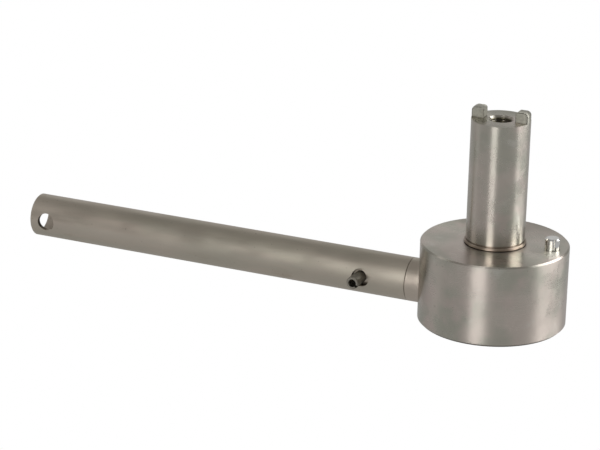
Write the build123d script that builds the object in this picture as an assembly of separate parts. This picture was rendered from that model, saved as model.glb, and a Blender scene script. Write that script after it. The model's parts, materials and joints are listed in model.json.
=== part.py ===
"""Crank handle: a turned hub with a drive spindle, and a tubular lever arm on a cross-pinned stub.

Units are millimetres and +Z is up. The origin is the centre of the hub's flat underside.
The spindle stands on the hub's axis, and the arm leaves the hub's side along -X.
"""
from build123d import *
from math import cos, radians, sin, tan
import os

# Hub: a solid turned drum
hub_dia = 50.0
hub_height = 28.0
hub_top_chamfer = 0.5
hub_bottom_chamfer = 0.8

# Drive spindle: a plain journal, with a shank pressed into a blind bore in the hub
spindle_dia = 19.8
spindle_length = 43.0
shank_dia = 16.0
shank_bore_depth = 22.0
shank_end_gap = 0.5
shank_chamfer = 0.8

# Bead round the foot of the spindle, and the relief groove above it
bead_dia = 20.8
bead_height = 1.2
bead_bevel = 0.35
relief_width = 0.6
relief_depth = 0.25

# Drive lugs on the end of the spindle, and the vee neck turned round their roots
lug_width = 4.0
lug_gap = 11.0
lug_height = 3.6
lug_outer_round = 1.4
lug_inner_round = 1.0
lug_edge_break = 0.25
neck_depth = 0.6

# Tapped hole on the spindle's axis: M8, modelled at its core diameter
tap_drill_dia = 6.8
tap_mouth_dia = 8.6
tap_depth = 20.0
drill_point_angle = 118.0

# Grooved stop pin in the top of the hub
stop_pin_dia = 5.0
stop_pin_pitch_radius = 19.5
stop_pin_angle = 6.0
stop_pin_reach = 4.0
stop_pin_seat = 9.0
stop_pin_chamfer = 0.4
stop_groove_count = 3
stop_groove_angle = -60.0
stop_groove_dia = 0.9
stop_groove_depth = 0.3

# Arm: a stub fixed in the side of the hub, and the tube that slides over its spigot
arm_height = 9.7
stub_dia = 15.0
stub_seat_x = -14.0
stub_shoulder_x = -29.0
spigot_end_x = -60.0
spigot_clearance = 0.05
spigot_chamfer = 1.0
tube_dia = 15.0
tube_bore_dia = 12.0
tube_length = 145.0
tube_edge_break = 0.3

# Cross holes through the tube: one round the spring pin, one near the open end for a grip
cross_hole_dia = 6.4
pin_hole_x = -45.3
grip_hole_x = -167.6

# Slotted spring pin through the stub
spring_pin_dia = 4.3
spring_pin_bore_dia = 2.8
spring_pin_x = -45.7
spring_pin_near_y = -13.3
spring_pin_length = 20.0
spring_pin_chamfer = 0.35
spring_pin_slot = 0.9
spring_pin_slot_angle = -35.0

# Derived sizes
hub_radius = hub_dia / 2
spindle_radius = spindle_dia / 2
shoulder_z = hub_height + spindle_length
lug_top_z = shoulder_z + lug_height
tube_end_x = stub_shoulder_x - tube_length


def rod(diameter, start, end):
    """A cylinder between two points on its axis."""
    axis = Vector(*end) - Vector(*start)
    return extrude(Plane(origin=start, z_dir=axis) * Circle(diameter / 2), axis.length)


def turned(points):
    """A body of revolution about Z from an outline of (radius, height) points."""
    outline = Polyline([(radius, 0, height) for radius, height in points], close=True)
    return revolve(make_face(outline), Axis.Z)


def on_arm(x, y=0.0):
    """A point beside the arm's axis."""
    return (x, y, arm_height)


def make_hub():
    """The drum, with its blind shank bore, the stub's radial bore and the stop pin's hole."""
    drum = turned([
        (0, 0),
        (hub_radius - hub_bottom_chamfer, 0),
        (hub_radius, hub_bottom_chamfer),
        (hub_radius, hub_height - hub_top_chamfer),
        (hub_radius - hub_top_chamfer, hub_height),
        (0, hub_height),
    ])
    shank_bore = rod(shank_dia, (0, 0, hub_height - shank_bore_depth), (0, 0, hub_height))
    stub_bore = rod(stub_dia, on_arm(stub_seat_x), on_arm(-hub_radius))
    pin_hole = Pos(*stop_pin_place()) * Cylinder(stop_pin_dia / 2, 2 * stop_pin_seat)
    return drum - shank_bore - stub_bore - pin_hole


def make_journal():
    """The spindle up to its shoulder: pressed shank, bead, relief groove and plain journal."""
    shank_end_z = hub_height - shank_bore_depth + shank_end_gap
    shank_radius = shank_dia / 2
    bead_radius = bead_dia / 2
    bead_top_z = hub_height + bead_height
    relief_radius = spindle_radius - relief_depth
    relief_top_z = bead_top_z + relief_width
    return turned([
        (0, shank_end_z),
        (shank_radius - shank_chamfer, shank_end_z),
        (shank_radius, shank_end_z + shank_chamfer),
        (shank_radius, hub_height),
        (bead_radius - bead_bevel, hub_height),
        (bead_radius, hub_height + bead_bevel),
        (bead_radius, bead_top_z - bead_bevel),
        (bead_radius - bead_bevel, bead_top_z),
        (relief_radius, bead_top_z),
        (relief_radius, relief_top_z),
        (spindle_radius, relief_top_z),
        (spindle_radius, shoulder_z),
        (0, shoulder_z),
    ])


def make_lugs():
    """The two drive lugs: tabs of the journal's own round, with rounded shoulders."""
    band = rod(spindle_dia, (0, 0, shoulder_z), (0, 0, lug_top_z))
    lugs = Part()
    for side in (-1, 1):
        middle_x = side * (lug_gap + spindle_dia) / 4
        tab = Pos(middle_x, 0, shoulder_z + lug_height / 2) * Box(
            (spindle_dia - lug_gap) / 2, lug_width, lug_height
        )
        lug = tab & band
        for place, radius in ((-1, lug_outer_round), (0, lug_inner_round)):
            top_edges = lug.faces().sort_by(Axis.Z)[-1].edges()
            lug = fillet(top_edges.sort_by(lambda edge: abs(edge.center().X))[place], radius)
        flank_edges = lug.faces().filter_by(Axis.Y).edges()
        lug = chamfer(flank_edges.filter_by(lambda edge: edge.center().Z > shoulder_z), lug_edge_break)
        lugs += lug
    return lugs


def make_neck():
    """The vee turned round the shoulder: it bevels the rim and undercuts the lugs."""
    root_radius = spindle_radius - neck_depth
    reach = 1.5 * neck_depth
    return turned([
        (root_radius, shoulder_z),
        (root_radius + reach, shoulder_z + reach),
        (root_radius + reach, shoulder_z - reach),
    ])


def make_tap_drill():
    """The drilled hole on the axis, with its pointed bottom and countersunk mouth."""
    drill_radius = tap_drill_dia / 2
    mouth_radius = tap_mouth_dia / 2
    floor_z = shoulder_z - tap_depth
    point_length = drill_radius / tan(radians(drill_point_angle / 2))
    return turned([
        (0, floor_z - point_length),
        (drill_radius, floor_z),
        (drill_radius, shoulder_z - (mouth_radius - drill_radius)),
        (mouth_radius, shoulder_z),
        (mouth_radius, lug_top_z),
        (0, lug_top_z),
    ])


def make_drive_spindle():
    """The whole spindle, with its lugs, its neck and its tapped hole."""
    return make_journal() + make_lugs() - make_neck() - make_tap_drill()


def stop_pin_place():
    """Where the stop pin's axis meets the top of the hub."""
    turn = radians(stop_pin_angle)
    return (stop_pin_pitch_radius * cos(turn), stop_pin_pitch_radius * sin(turn), hub_height)


def make_stop_pin():
    """A grooved pin: three swaged grooves run down its length and grip the hole."""
    length = stop_pin_seat + stop_pin_reach
    pin = Pos(0, 0, (stop_pin_reach - stop_pin_seat) / 2) * Cylinder(stop_pin_dia / 2, length)
    pin = chamfer(pin.edges().filter_by(GeomType.CIRCLE), stop_pin_chamfer)
    groove_centre = stop_pin_dia / 2 - stop_groove_depth + stop_groove_dia / 2
    for index in range(stop_groove_count):
        turn = stop_groove_angle + 360 / stop_groove_count * index
        pin -= Rot(0, 0, turn) * Pos(groove_centre, 0, 0) * Cylinder(stop_groove_dia / 2, 2 * length)
    return Pos(*stop_pin_place()) * pin


def make_arm_stub():
    """The turned stub: a body seated in the hub, a shoulder, and a cross-drilled spigot."""
    body = rod(stub_dia, on_arm(stub_seat_x), on_arm(stub_shoulder_x))
    spigot = rod(tube_bore_dia - 2 * spigot_clearance, on_arm(stub_shoulder_x), on_arm(spigot_end_x))
    spigot = chamfer(spigot.edges().sort_by(Axis.X)[0], spigot_chamfer)
    cross_hole = rod(spring_pin_dia, on_arm(spring_pin_x, -tube_dia), on_arm(spring_pin_x, tube_dia))
    return body + spigot - cross_hole


def make_arm_tube():
    """The arm: a plain round tube with its edges broken, cross-drilled at both ends."""
    tube = rod(tube_dia, on_arm(stub_shoulder_x), on_arm(tube_end_x))
    tube -= rod(tube_bore_dia, on_arm(stub_shoulder_x), on_arm(tube_end_x))
    tube = chamfer(tube.edges().filter_by(GeomType.CIRCLE), tube_edge_break)
    for x in (pin_hole_x, grip_hole_x):
        tube -= rod(cross_hole_dia, on_arm(x, -tube_dia), on_arm(x, tube_dia))
    return tube


def make_spring_pin():
    """The rolled pin: a slotted tube with bevelled ends, across the arm."""
    far_y = spring_pin_near_y + spring_pin_length
    near_end = on_arm(spring_pin_x, spring_pin_near_y)
    far_end = on_arm(spring_pin_x, far_y)
    pin = rod(spring_pin_dia, near_end, far_end)
    pin = chamfer(pin.edges().filter_by(GeomType.CIRCLE), spring_pin_chamfer)
    pin -= rod(spring_pin_bore_dia, near_end, far_end)
    slot = Pos(spring_pin_dia / 2, 0, 0) * Box(spring_pin_dia, 2 * spring_pin_length, spring_pin_slot)
    return pin - Pos(*near_end) * Rot(0, -spring_pin_slot_angle, 0) * slot


parts = {
    "hub": make_hub(),
    "drive_spindle": make_drive_spindle(),
    "stop_pin": make_stop_pin(),
    "arm_stub": make_arm_stub(),
    "arm_tube": make_arm_tube(),
    "spring_pin": make_spring_pin(),
}

os.makedirs("parts", exist_ok=True)
for name, part in parts.items():
    part.label = name
    export_step(part, f"parts/{name}.step")
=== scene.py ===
"""Looks for the crank handle: worn satin steel, a real thread in the tapped hole, and a soft studio."""
import json
from math import cos, pi, radians, sin, tau

import bmesh
import bpy
from mathutils import Matrix, Vector


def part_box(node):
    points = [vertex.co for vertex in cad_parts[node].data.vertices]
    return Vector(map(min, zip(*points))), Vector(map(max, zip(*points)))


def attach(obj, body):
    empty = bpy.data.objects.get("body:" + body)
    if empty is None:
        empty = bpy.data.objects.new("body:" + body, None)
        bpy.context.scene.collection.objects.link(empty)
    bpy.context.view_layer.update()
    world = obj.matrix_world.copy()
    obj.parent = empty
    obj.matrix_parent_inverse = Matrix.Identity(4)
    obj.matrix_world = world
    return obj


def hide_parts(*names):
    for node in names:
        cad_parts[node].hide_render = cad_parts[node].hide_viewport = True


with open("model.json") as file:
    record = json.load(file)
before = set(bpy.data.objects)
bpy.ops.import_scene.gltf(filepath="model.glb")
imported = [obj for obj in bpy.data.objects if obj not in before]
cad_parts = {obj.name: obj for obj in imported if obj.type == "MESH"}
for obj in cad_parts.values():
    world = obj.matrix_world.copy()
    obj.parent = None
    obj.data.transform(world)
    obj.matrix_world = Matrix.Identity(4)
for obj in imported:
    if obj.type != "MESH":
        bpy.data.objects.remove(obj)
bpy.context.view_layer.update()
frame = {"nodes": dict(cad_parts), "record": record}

MM = 0.001

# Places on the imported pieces, as the frame gives them
hub_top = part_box("hub")[1].z
arm_low, arm_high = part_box("arm_tube")
arm_height = (arm_low.z + arm_high.z) / 2
stop_low, stop_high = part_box("stop_pin")
stop_centre = (stop_low + stop_high) / 2

# The tapped hole's plain wall, and the countersink between it and the spindle's shoulder
screw_hole = next(mount for mount in frame["record"]["mounts"] if mount["name"] == "screw_hole")
core_radius = screw_hole["dims"]["r_mm"] * MM
wall_length = screw_hole["dims"]["length_mm"] * MM
wall_middle = screw_hole["pos_m"][2]
wall_bottom = wall_middle - wall_length / 2
wall_top = wall_middle + wall_length / 2
countersink_depth = 0.9 * MM
shoulder_z = wall_top + countersink_depth

# Thread M8. Its crest, root and fade are shares of one turn.
thread_pitch = 1.25 * MM
thread_depth = 0.6 * MM
thread_columns = 72
rows_per_turn = 16
crest_half = 0.125
root_half = 0.0625
fade_turns = 0.6

# How near the plain wall a face lies, and how upright it is, to be taken out for the thread
wall_tolerance = 0.05 * MM
wall_tilt = 0.1

# Zones of the steel's look: the tapped hole's mouth, darkened with painted shade and oil; the spindle's
# foot, with a painted brown reflection; and the tube's tarnished underside
hole_shade_radius = 4.1 * MM
foot_reflection_fade_start = 1.3 * MM
foot_reflection_fade_end = 2.0 * MM
tarnish_reach = 5 * MM

# Camera: its direction, then its distance and shifts from the hub's foot in metres, and its lens in mm
camera_azimuth = radians(23.55)
camera_elevation = radians(19.53)
camera_roll = radians(1.335)
camera_distance = 0.8588
camera_aim_right = -0.0653
camera_aim_up = 0.0305
camera_lens = 152.46
sensor_width = 36.0

# Colours of the steel, linear
STEEL_GREEN = (0.45, 0.44, 0.38)
STEEL_WARM = (0.56, 0.50, 0.45)
STEEL_PINK = (0.57, 0.49, 0.45)
STEEL_PALE = (0.62, 0.60, 0.55)
STEEL_BROWN = (0.53, 0.46, 0.37)
STEEL_BRIGHT = (0.80, 0.81, 0.80)
STEEL_DARK = (0.16, 0.15, 0.125)
STEEL_DULL = (0.30, 0.28, 0.24)
LUG_GREY = (0.33, 0.32, 0.275)
# The grime colour darkens the pits, and through the occlusion mask it also paints shade into nooks where
# surfaces meet
GRIME_AND_SHADE = (0.085, 0.065, 0.045)
# Dark oily colour, used as painted shade inside the tapped hole
OILY_HOLE_SHADE = (0.10, 0.09, 0.055)
# Rust brown: real tarnish on the tube, and a painted reflection at the spindle's foot
RUST_AND_BROWN_REFLECTION = (0.30, 0.20, 0.13)
# Near-black painted shade inside the hollow spring pin
CREVICE_SHADE_BLACK = (0.02, 0.02, 0.015)

# Studio
floor_radius = 4.0
floor_segments = 64
FLOOR_GREY = (0.10, 0.10, 0.10)
floor_glow = 0.40
ROOM_TINT = (1.0, 0.98, 0.95)
room_strength = 0.31
SOFTBOXES = (
    # name, angle from the camera, elevation, distance, width, height, radiance
    ("key", -26, 22, 1.2, 0.46, 1.0, 4.2),
    ("far_left", -100, 22, 1.2, 0.50, 1.0, 0.6),
    ("right_wall", 93, 22, 1.2, 1.25, 1.0, 4.4),
    ("backdrop", 180, 20, 1.2, 1.40, 0.8, 0.25),
)


class Shader:
    """One material around a single Principled shader, with short calls for its nodes."""

    def __init__(self, name, roughness, anisotropy=0.0, axis="Z", across=True):
        self.material = bpy.data.materials.new(name)
        self.material.use_nodes = True
        self.tree = self.material.node_tree
        self.surface = self.tree.nodes["Principled BSDF"]
        self.surface.inputs["Metallic"].default_value = 1.0
        self.surface.inputs["Roughness"].default_value = roughness
        self.surface.inputs["Anisotropic"].default_value = anisotropy
        if anisotropy:
            tangent = self.add("ShaderNodeTangent", direction_type="RADIAL", axis=axis)
            self.surface.inputs["Anisotropic Rotation"].default_value = 0.25 if across else 0.0
            self.link(tangent.outputs[0], self.surface.inputs["Tangent"])
        self.place = self.add("ShaderNodeTexCoord").outputs["Object"]
        split = self.add("ShaderNodeSeparateXYZ")
        self.link(self.place, split.inputs[0])
        self.x, self.y, self.z = split.outputs

    def add(self, kind, **settings):
        node = self.tree.nodes.new(kind)
        for key, value in settings.items():
            setattr(node, key, value)
        return node

    def link(self, output, socket):
        self.tree.links.new(output, socket)

    def math(self, operation, *values):
        node = self.add("ShaderNodeMath", operation=operation)
        for socket, value in zip(node.inputs, values):
            if isinstance(value, (int, float)):
                socket.default_value = value
            else:
                self.link(value, socket)
        return node.outputs[0]

    def radius(self, centre_x=0.0, centre_y=0.0):
        """Distance from an upright axis."""
        across = self.math("SUBTRACT", self.x, centre_x)
        along = self.math("SUBTRACT", self.y, centre_y)
        across_squared = self.math("MULTIPLY", across, across)
        along_squared = self.math("MULTIPLY", along, along)
        return self.math("SQRT", self.math("ADD", across_squared, along_squared))

    def noise(self, scale, detail=3.0, stretch=(1, 1, 1), shift=(0, 0, 0)):
        mapping = self.add("ShaderNodeMapping")
        mapping.inputs["Scale"].default_value = stretch
        mapping.inputs["Location"].default_value = shift
        self.link(self.place, mapping.inputs["Vector"])
        node = self.add("ShaderNodeTexNoise")
        node.inputs["Scale"].default_value = scale
        node.inputs["Detail"].default_value = detail
        self.link(mapping.outputs[0], node.inputs["Vector"])
        return node.outputs[0]

    def rings(self, coordinate, scale, detail=2.0):
        """Noise of one coordinate, as a lathe tool leaves it."""
        node = self.add("ShaderNodeTexNoise", noise_dimensions="1D")
        node.inputs["Scale"].default_value = scale
        node.inputs["Detail"].default_value = detail
        self.link(coordinate, node.inputs["W"])
        return node.outputs[0]

    def spread(self, value, low, high, out_low=0.0, out_high=1.0):
        """Carries low..high to out_low..out_high, held at the ends."""
        node = self.add("ShaderNodeMapRange", interpolation_type="SMOOTHSTEP")
        for socket, number in zip(node.inputs[1:5], (low, high, out_low, out_high)):
            socket.default_value = number
        self.link(value, node.inputs[0])
        return node.outputs[0]

    def mix(self, share, first, second):
        node = self.add("ShaderNodeMix", data_type="RGBA")
        for socket, value in ((node.inputs[0], share), (node.inputs[6], first), (node.inputs[7], second)):
            if isinstance(value, tuple):
                socket.default_value = (*value, 1.0)
            elif isinstance(value, float):
                socket.default_value = value
            else:
                self.link(value, socket)
        return node.outputs[2]

    def crevice_shade(self, distance):
        """Mask for painted shade: 1 where the surface is shut in by another one nearby."""
        node = self.add("ShaderNodeAmbientOcclusion", samples=8)
        node.inputs["Distance"].default_value = distance
        return self.spread(node.outputs["AO"], 0.25, 0.8, 1.0, 0.0)

    def bump(self, height, strength, distance):
        node = self.add("ShaderNodeBump")
        node.inputs["Strength"].default_value = strength
        node.inputs["Distance"].default_value = distance
        self.link(height, node.inputs["Height"])
        self.link(node.outputs[0], self.surface.inputs["Normal"])

    def paint(self, colour, roughness):
        self.link(colour, self.surface.inputs["Base Color"])
        self.link(roughness, self.surface.inputs["Roughness"])
        return self.material


def stained(shader, stretch=(1, 1, 1), shift=(0, 0, 0)):
    """The steel's own mottle: greenish, warm and pinkish patches, with a fine grain."""
    patches = shader.spread(shader.noise(70, 4, stretch, shift), 0.36, 0.64)
    colour = shader.mix(patches, STEEL_GREEN, STEEL_WARM)
    blush = shader.spread(shader.noise(110, 3, stretch, (3, 1, 2)), 0.52, 0.72, 0.0, 0.7)
    colour = shader.mix(blush, colour, STEEL_PINK)
    pale = shader.spread(shader.noise(160, 5, stretch, (7, 4, 1)), 0.58, 0.78, 0.0, 0.5)
    return shader.mix(pale, colour, STEEL_PALE)


def pitted(shader, colour, amount=0.5):
    """Small dark specks scattered over a surface."""
    pits = shader.spread(shader.noise(1500, 1), 0.74, 0.80, 0.0, amount)
    return shader.mix(pits, colour, GRIME_AND_SHADE)


def hub_steel():
    """Turned satin steel: lathe rings on the top face and round the side."""
    s = Shader("hub_turned_steel", 0.3, 0.88)
    sweep = s.math("ADD", s.radius(), s.z)
    fine = s.rings(sweep, 9000)
    broad = s.rings(sweep, 900, 3)
    colour = pitted(s, stained(s), 0.45)
    # Painted shade: the grime colour laid in nooks where another surface shuts the hub in
    colour = s.mix(s.crevice_shade(1.0 * MM), colour, GRIME_AND_SHADE)
    worn = s.spread(fine, 0.3, 0.7, -0.04, 0.04)
    roughness = s.math("ADD", s.spread(s.noise(120, 4), 0.3, 0.7, 0.27, 0.37), worn)
    s.bump(s.math("ADD", fine, s.math("MULTIPLY", broad, 0.6)), 0.16, 0.02 * MM)
    return s.paint(colour, roughness)


def spindle_steel():
    """Ground journal, matt milled lugs, and a tapped hole darkened with painted shade and oil."""
    s = Shader("spindle_turned_steel", 0.28, 0.88)
    rings = s.rings(s.math("ADD", s.radius(), s.z), 8000)
    colour = stained(s, shift=(5, 2, 0))
    lug = s.spread(s.z, shoulder_z - 0.05 * MM, shoulder_z + 0.1 * MM)
    speckle = s.spread(s.noise(1100, 3), 0.4, 0.6, 0.0, 0.6)
    colour = s.mix(lug, colour, s.mix(speckle, STEEL_GREEN, LUG_GREY))
    # Painted shade inside the tapped hole's mouth, dark and oily
    near_axis = s.spread(s.radius(), core_radius, hole_shade_radius, 1.0, 0.0)
    below_shoulder = s.spread(s.z, shoulder_z, shoulder_z + 0.2 * MM, 1.0, 0.0)
    inside = s.math("MULTIPLY", near_axis, below_shoulder)
    colour = s.mix(s.math("MULTIPLY", inside, 0.95), colour, OILY_HOLE_SHADE)
    # Painted reflection: a brown band round the spindle's base, fading out 1.3 to 2 mm above the hub
    foot = s.spread(s.z, hub_top + foot_reflection_fade_start, hub_top + foot_reflection_fade_end, 1.0, 0.0)
    colour = s.mix(s.math("MULTIPLY", foot, 0.55), colour, RUST_AND_BROWN_REFLECTION)
    # Painted shade: the grime colour laid in nooks where another surface shuts the spindle in, over the
    # pitted steel
    colour = s.mix(s.crevice_shade(0.8 * MM), pitted(s, colour, 0.3), GRIME_AND_SHADE)
    painted_zone = s.math("MAXIMUM", inside, foot)
    matt = s.math("MAXIMUM", s.math("MULTIPLY", lug, 0.5), s.math("MULTIPLY", painted_zone, 0.45))
    roughness = s.math("MAXIMUM", s.spread(s.noise(140, 4), 0.3, 0.7, 0.24, 0.33), matt)
    s.bump(s.math("ADD", rings, s.math("MULTIPLY", speckle, lug)), 0.15, 0.02 * MM)
    return s.paint(colour, roughness)


def tube_steel():
    """Drawn tube: long stains and lengthwise streaks, with brown touches along its underside."""
    s = Shader("tube_drawn_steel", 0.36, 0.35, "X", False)
    streaks = s.noise(420, 4, (0.06, 1, 1))
    colour = s.mix(0.5, stained(s, (0.32, 1, 1), (2, 0, 6)), STEEL_BROWN)
    tarnish = s.spread(s.noise(90, 5, (0.4, 1, 1), (9, 3, 3)), 0.6, 0.74, 0.0, 0.45)
    low = s.spread(s.z, arm_height - tarnish_reach, arm_height, 1.0, 0.0)
    colour = s.mix(s.math("MULTIPLY", tarnish, low), colour, RUST_AND_BROWN_REFLECTION)
    colour = s.mix(s.spread(streaks, 0.35, 0.65, 0.0, 0.22), colour, STEEL_GREEN)
    # Painted shade: the grime colour laid in nooks where another surface shuts the tube in, over the
    # pitted steel
    colour = s.mix(s.crevice_shade(1.0 * MM), pitted(s, colour), GRIME_AND_SHADE)
    roughness = s.spread(s.noise(150, 5, (0.4, 1, 1)), 0.3, 0.7, 0.30, 0.46)
    s.bump(s.math("ADD", streaks, s.noise(1800, 2)), 0.14, 0.03 * MM)
    return s.paint(colour, roughness)


def stub_steel():
    """Turned stub: rings round the arm's axis, a little pinker than the tube."""
    s = Shader("stub_turned_steel", 0.36, 0.35, "X", False)
    rings = s.rings(s.x, 7000)
    colour = s.mix(0.5, stained(s, shift=(1, 8, 2)), STEEL_BROWN)
    # Painted shade: the grime colour laid in nooks where another surface shuts the stub in, over the
    # pitted steel
    colour = s.mix(s.crevice_shade(0.5 * MM), pitted(s, colour), GRIME_AND_SHADE)
    s.bump(rings, 0.2, 0.03 * MM)
    return s.paint(colour, s.spread(s.noise(200, 3), 0.3, 0.7, 0.29, 0.40))


def stop_pin_steel():
    """Bright drawn pin."""
    s = Shader("stop_pin_bright_steel", 0.16)
    rings = s.rings(s.radius(stop_centre.x, stop_centre.y), 6000)
    colour = s.mix(s.spread(s.noise(600, 3), 0.35, 0.65, 0.0, 0.35), STEEL_BRIGHT, STEEL_PALE)
    # Painted shade: the grime colour laid in nooks where another surface shuts the stop pin in
    colour = s.mix(s.crevice_shade(0.6 * MM), colour, GRIME_AND_SHADE)
    s.bump(s.math("ADD", rings, s.noise(1300, 3)), 0.2, 0.03 * MM)
    return s.paint(colour, s.spread(s.noise(700, 3), 0.3, 0.7, 0.12, 0.24))


def spring_pin_steel():
    """Dark rolled spring steel, with painted black shade inside."""
    s = Shader("spring_pin_dark_steel", 0.42)
    rings = s.rings(s.y, 2600)
    colour = s.mix(s.spread(rings, 0.35, 0.65), STEEL_DARK, STEEL_DULL)
    # Painted shade: near-black inside the hollow pin and where it meets the tube, over the pitted steel
    colour = s.mix(s.crevice_shade(1.6 * MM), pitted(s, colour), CREVICE_SHADE_BLACK)
    s.bump(s.math("ADD", rings, s.noise(1500, 3)), 0.3, 0.04 * MM)
    return s.paint(colour, s.spread(s.noise(500, 3), 0.3, 0.7, 0.36, 0.52))


def thread_depth_at(phase):
    """How deep the thread is cut at a phase of its turn: flat crest, straight flank, flat root."""
    away = abs(phase % 1.0 - 0.5)
    flank = 0.5 - crest_half - root_half
    return min(1.0, max(0.0, (0.5 - crest_half - away) / flank))


def thread_point(column, height):
    """A point of the threaded wall. The thread fades out at both ends, to meet the CAD's rims."""
    turn = column / thread_columns
    room = min(height - wall_bottom, wall_top - height)
    fade = min(1.0, room / (fade_turns * thread_pitch))
    cut = thread_depth_at((height - wall_bottom) / thread_pitch - turn)
    reach = core_radius + thread_depth * cut * fade
    return (reach * cos(tau * turn), reach * sin(tau * turn), height)


def is_hole_wall(face):
    """True for a face of the plain wall that the CAD gives the tapped hole."""
    on_wall = all(abs(v.co.xy.length - core_radius) < wall_tolerance for v in face.verts)
    lowest = wall_bottom - wall_tolerance
    highest = wall_top + wall_tolerance
    inside = all(lowest < v.co.z < highest for v in face.verts)
    return on_wall and inside and abs(face.normal.z) < wall_tilt


def make_threaded_spindle():
    """The spindle with its tapped hole's plain wall cut away and a helical thread in its place."""
    source = frame["nodes"]["drive_spindle"]
    mesh = source.data.copy()
    shape = bmesh.new()
    shape.from_mesh(mesh)
    walls = [face for face in shape.faces if is_hole_wall(face)]
    bmesh.ops.delete(shape, geom=walls, context="FACES")
    rows = int(wall_length / thread_pitch * rows_per_turn)
    grid = [
        [shape.verts.new(thread_point(column, wall_bottom + wall_length * row / rows))
         for column in range(thread_columns)]
        for row in range(rows + 1)
    ]
    for lower, upper in zip(grid, grid[1:]):
        for column in range(thread_columns):
            after = (column + 1) % thread_columns
            corners = (lower[column], upper[column], upper[after], lower[after])
            shape.faces.new(corners).smooth = True
    shape.to_mesh(mesh)
    shape.free()
    spindle = bpy.data.objects.new("threaded_spindle", mesh)
    bpy.context.scene.collection.objects.link(spindle)
    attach(spindle, "root")
    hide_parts("drive_spindle")
    return spindle


def dress(piece, material):
    """Gives a piece one material all over."""
    piece.data.materials.clear()
    piece.data.materials.append(material)


def make_floor():
    """A pale floor. It is white to the camera and a soft grey to the steel that reflects it."""
    shape = bmesh.new()
    bmesh.ops.create_circle(shape, cap_ends=True, segments=floor_segments, radius=floor_radius)
    mesh = bpy.data.meshes.new("floor")
    shape.to_mesh(mesh)
    shape.free()
    floor = bpy.data.objects.new("floor", mesh)
    bpy.context.scene.collection.objects.link(floor)
    material = bpy.data.materials.new("pale_floor")
    material.use_nodes = True
    tree = material.node_tree
    tree.nodes.clear()
    seen = tree.nodes.new("ShaderNodeLightPath").outputs["Is Camera Ray"]
    paper = tree.nodes.new("ShaderNodeBsdfDiffuse")
    paper.inputs["Color"].default_value = (*FLOOR_GREY, 1.0)
    glow = tree.nodes.new("ShaderNodeEmission")
    glow.inputs["Strength"].default_value = floor_glow
    table = tree.nodes.new("ShaderNodeAddShader")
    tree.links.new(paper.outputs[0], table.inputs[0])
    tree.links.new(glow.outputs[0], table.inputs[1])
    white = tree.nodes.new("ShaderNodeEmission")
    choice = tree.nodes.new("ShaderNodeMixShader")
    output = tree.nodes.new("ShaderNodeOutputMaterial")
    tree.links.new(seen, choice.inputs[0])
    tree.links.new(table.outputs[0], choice.inputs[1])
    tree.links.new(white.outputs[0], choice.inputs[2])
    tree.links.new(choice.outputs[0], output.inputs[0])
    dress(floor, material)


def add_softbox(name, around, elevation, distance, width, height, radiance):
    """An area light aimed at the hub. around is its angle from the camera's own azimuth, to the right."""
    azimuth = camera_azimuth + radians(around)
    rise = radians(elevation)
    back = Vector((sin(azimuth) * cos(rise), -cos(azimuth) * cos(rise), sin(rise)))
    data = bpy.data.lights.new(name, "AREA")
    data.shape = "RECTANGLE"
    data.size = width
    data.size_y = height
    data.energy = radiance * width * height * pi
    light = bpy.data.objects.new(name, data)
    bpy.context.scene.collection.objects.link(light)
    light.location = back * distance + Vector((0, 0, hub_top))
    light.rotation_mode = "QUATERNION"
    light.rotation_quaternion = (-back).to_track_quat("-Z", "Y")
    light.visible_camera = False


def make_world():
    """An even, slightly warm grey room."""
    world = bpy.data.worlds.new("studio")
    world.use_nodes = True
    background = world.node_tree.nodes["Background"]
    background.inputs["Color"].default_value = (*ROOM_TINT, 1.0)
    background.inputs["Strength"].default_value = room_strength
    bpy.context.scene.world = world


def make_camera():
    """The camera, at the photograph's viewing angle."""
    back = Vector((
        sin(camera_azimuth) * cos(camera_elevation),
        -cos(camera_azimuth) * cos(camera_elevation),
        sin(camera_elevation),
    ))
    right = (-back).cross(Vector((0, 0, 1))).normalized()
    up = right.cross(-back)
    data = bpy.data.cameras.new("camera")
    data.lens = camera_lens
    data.sensor_width = sensor_width
    camera = bpy.data.objects.new("camera", data)
    bpy.context.scene.collection.objects.link(camera)
    rolled_right = right * cos(camera_roll) + up * sin(camera_roll)
    rolled_up = up * cos(camera_roll) - right * sin(camera_roll)
    axes = Matrix((rolled_right, rolled_up, back)).transposed()
    place = back * camera_distance + right * camera_aim_right + up * camera_aim_up
    camera.matrix_world = Matrix.Translation(place) @ axes.to_4x4()
    bpy.context.scene.camera = camera


nodes = frame["nodes"]
dress(nodes["hub"], hub_steel())
dress(make_threaded_spindle(), spindle_steel())
dress(nodes["arm_tube"], tube_steel())
dress(nodes["arm_stub"], stub_steel())
dress(nodes["stop_pin"], stop_pin_steel())
dress(nodes["spring_pin"], spring_pin_steel())
make_floor()
make_world()
for softbox in SOFTBOXES:
    add_softbox(*softbox)
make_camera()
bpy.context.scene.view_settings.view_transform = "Standard"
